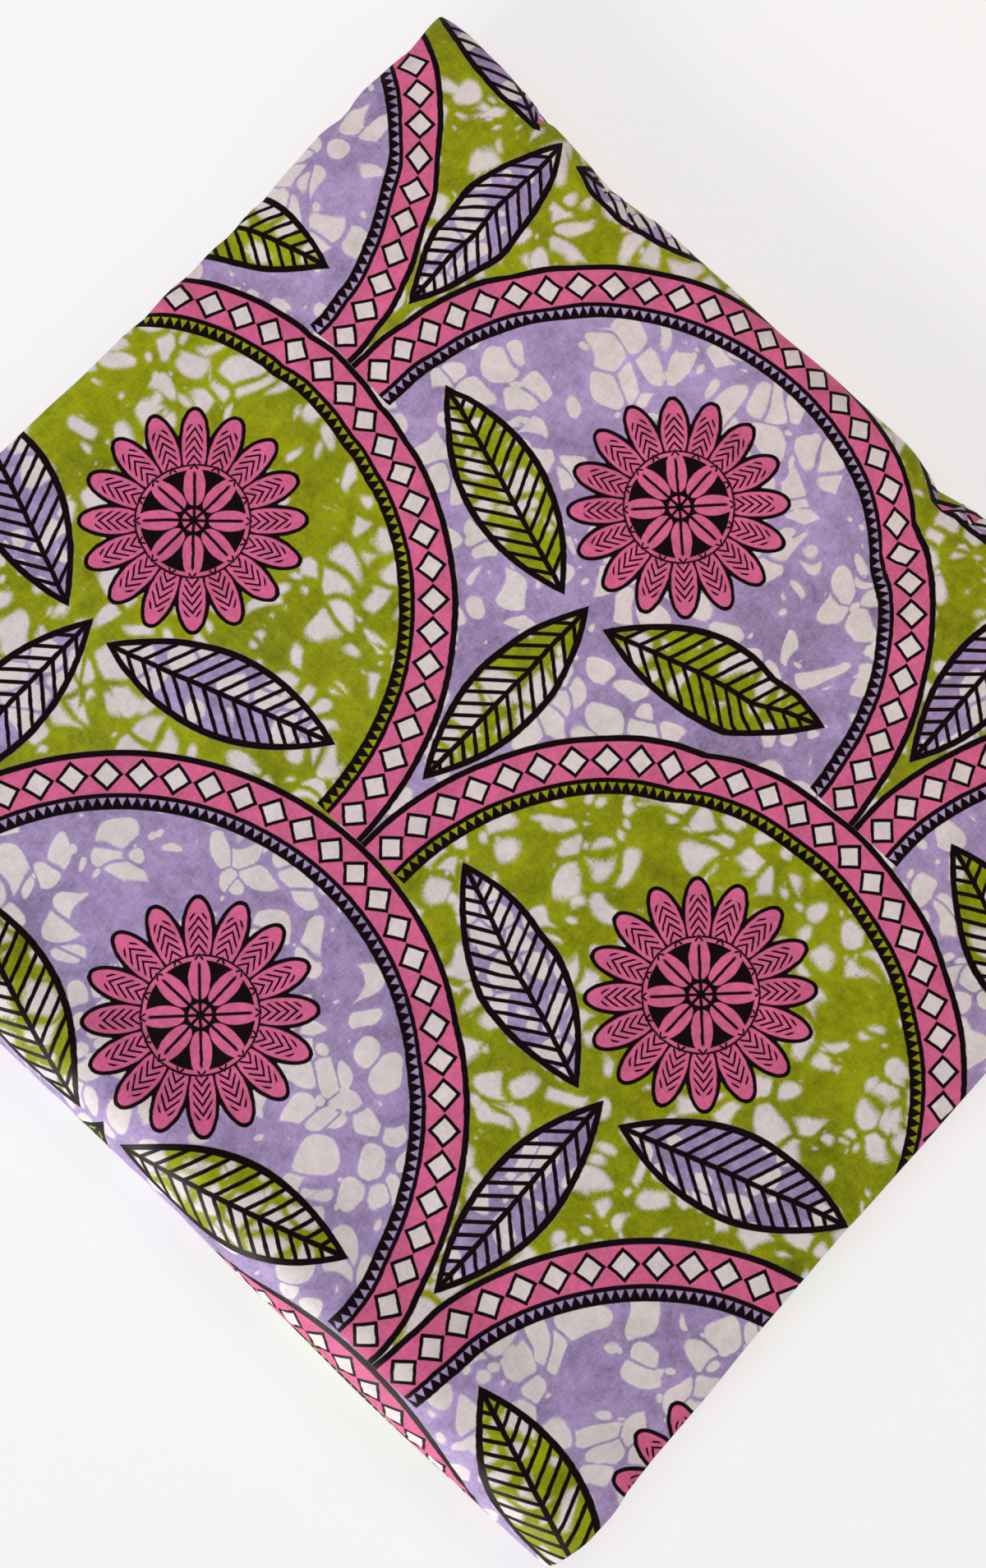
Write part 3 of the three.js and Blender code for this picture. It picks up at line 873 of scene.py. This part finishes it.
def printed_cotton(name):
    material = bpy.data.materials.new(name)
    material.use_nodes = True
    tree = material.node_tree
    tree.nodes.clear()
    place_socket, raw_u, raw_v = cloth_place(tree)

    # Printed lines wander by a fraction of a millimetre, as rollers leave them.
    jitter = noise(tree, place_socket, size=3.0, detail=2.0)
    u = raw_u + jitter * PRINT_JITTER[0] + PRINT_SHIFT[0]
    v = raw_v + jitter * PRINT_JITTER[1] + PRINT_SHIFT[1]
    x, y, rim, turn, lilac_row = scallops(u, v)
    in_leaf, leaf_black = leaf_masks(x, y)

    # Ground: lime or lilac by row, swapped in the leaves, with wax blobs left white.
    lilac = (lilac_row - in_leaf).size()
    grain = noise(tree, place_socket, size=0.9, detail=1.5, roughness=0.7)
    mottle = noise(tree, place_socket, size=34.0, detail=3.0, roughness=0.62)
    cloudy = noise(tree, place_socket, size=20.0, detail=5.0, roughness=0.9)
    drift = noise(tree, place_socket, size=150.0)
    yarns = threads(tree, place_socket)
    wax = wax_blobs(tree, place_socket, lilac, mottle)
    near_wax = (wax + HALO_SHIFT).inside(HALO)
    lightness = (mottle * 0.35 + cloudy * 1.6 + grain * 0.22 + yarns * 0.34 + near_wax * 0.14
                 + drift * 0.60 + 0.97)
    ground = shade(tree, paint(tree, LIME, LILAC, lilac), lightness)
    white = shade(tree, WHITE, yarns * 0.18 + cloudy * 0.6 + 1.0)
    pink = shade(tree, PINK, yarns * 0.30 + cloudy * 0.9 + 1.0)
    flower_ground, flower_pink = flower_masks(x, y - FLOWER_UP)
    in_edge, in_band, in_outline, in_lozenge, in_tooth = rim_masks(rim, turn)
    selvedge = (raw_u - SELVEDGE).least(CLOTH_WIDTH - SELVEDGE - raw_u)

    # Each layer of the print covers the ones before it.
    colour = ground
    for layer, mask in ((white, wax_white(wax, lilac, mottle, grain)), (BLACK, leaf_black),
                        (BLACK, flower_ground), (pink, flower_pink), (BLACK, in_edge),
                        (pink, in_band), (BLACK, in_outline), (white, in_lozenge),
                        (ground, in_tooth), (white, (0.0 - selvedge).inside())):
        colour = paint(tree, colour, layer, mask)

    weave = (raw_u * (math.pi / YARN)).math("SINE") * (raw_v * (math.pi / YARN)).math("SINE")
    cotton_shader(tree, colour, weave * 0.35 + yarns * 1.1 + grain * 0.5)
    return material


cotton = printed_cotton("printed_cotton")
for piece, node, slot in ((outer_cloth, "outer_fold", "printed_cotton"),
                          (inner_cloth, "inner_folds", "printed_cotton_layers")):
    piece.data.materials.append(cotton)
    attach(piece, "root")
    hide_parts(node)

inner_length = float(inner_along[-1] - inner_along[0]) * MM

# ---- floor, light and camera, in metres ----------------------------------------------------
FLOOR_HALF = 60.0
FLOOR_GAP = 0.0001               # the floor lies this far below the cloth
CAMERA_PLACE = (0.0253, -0.0750, 0.5911)
CAMERA_RIGHT = (0.7319, 0.6789, 0.0582)
CAMERA_BACK = (0.0338, -0.1215, 0.9920)
CAMERA_LENS = 37.72              # mm
CAMERA_SENSOR = 36.0             # mm, along the longer side of the picture


def floor():
    mesh = bpy.data.meshes.new("floor")
    half = FLOOR_HALF
    mesh.from_pydata([(-half, -half, 0), (half, -half, 0), (half, half, 0), (-half, half, 0)],
                     [], [(0, 1, 2, 3)])
    piece = bpy.data.objects.new("floor", mesh)
    bpy.context.scene.collection.objects.link(piece)
    piece.location.z = -FLOOR_GAP
    material = bpy.data.materials.new("pale_floor")
    material.use_nodes = True
    shader = material.node_tree.nodes["Principled BSDF"]
    for name, value in (("Base Color", (0.50, 0.50, 0.50, 1)), ("Roughness", 0.9),
                        ("Specular IOR Level", 0.1), ("Emission Color", (1, 1, 1, 1)),
                        ("Emission Strength", 0.56)):
        shader.inputs[name].default_value = value
    mesh.materials.append(material)


def softbox(name, location, size, power, colour, shines=True):
    """A square lamp that faces the bundle, with or without a highlight of its own."""
    light = bpy.data.lights.new(name, "AREA")
    light.shape = "SQUARE"
    light.size = size
    light.energy = power
    light.color = colour
    lamp = bpy.data.objects.new(name, light)
    lamp.location = location
    lamp.rotation_euler = (-Vector(location)).to_track_quat("-Z", "Y").to_euler()
    lamp.visible_camera = False
    lamp.visible_glossy = shines
    bpy.context.scene.collection.objects.link(lamp)


def studio_walls():
    """Soft light all round: pale near the horizon, dimmer overhead."""
    world = bpy.data.worlds.new("studio")
    bpy.context.scene.world = world
    world.use_nodes = True
    tree = world.node_tree
    direction = tree.nodes.new("ShaderNodeTexCoord")
    split = tree.nodes.new("ShaderNodeSeparateXYZ")
    tree.links.new(direction.outputs["Generated"], split.inputs[0])
    ramp = tree.nodes.new("ShaderNodeMapRange")
    ramp.interpolation_type = "SMOOTHSTEP"
    for name, value in (("From Min", 0.10), ("From Max", 0.80), ("To Min", 0.68),
                        ("To Max", 0.10)):
        ramp.inputs[name].default_value = value
    tree.links.new(split.outputs[2], ramp.inputs["Value"])
    background = tree.nodes["Background"]
    background.inputs["Color"].default_value = (0.97, 0.98, 1.0, 1)
    tree.links.new(ramp.outputs[0], background.inputs["Strength"])


def camera():
    data = bpy.data.cameras.new("camera")
    data.lens = CAMERA_LENS
    data.sensor_width = CAMERA_SENSOR
    viewer = bpy.data.objects.new("camera", data)
    right = Vector(CAMERA_RIGHT).normalized()
    back = Vector(CAMERA_BACK).normalized()
    up = back.cross(right).normalized()
    turned = Matrix((right, up, back)).transposed().to_4x4()
    viewer.matrix_world = Matrix.Translation(CAMERA_PLACE) @ turned
    bpy.context.scene.collection.objects.link(viewer)
    bpy.context.scene.camera = viewer


floor()
softbox("key", location=(0.3, -5.6, 1.78), size=2.6, power=272, colour=(1.0, 0.975, 0.95))
softbox("cool", location=(-0.20, -0.10, 0.78), size=0.35, power=1.5, colour=(0.65, 0.77, 1.0),
        shines=False)
softbox("warm", location=(-0.10, 0.60, 1.02), size=0.45, power=3.2, colour=(1.0, 0.765, 0.53),
        shines=False)
studio_walls()
camera()
bpy.context.scene.view_settings.view_transform = "Standard"
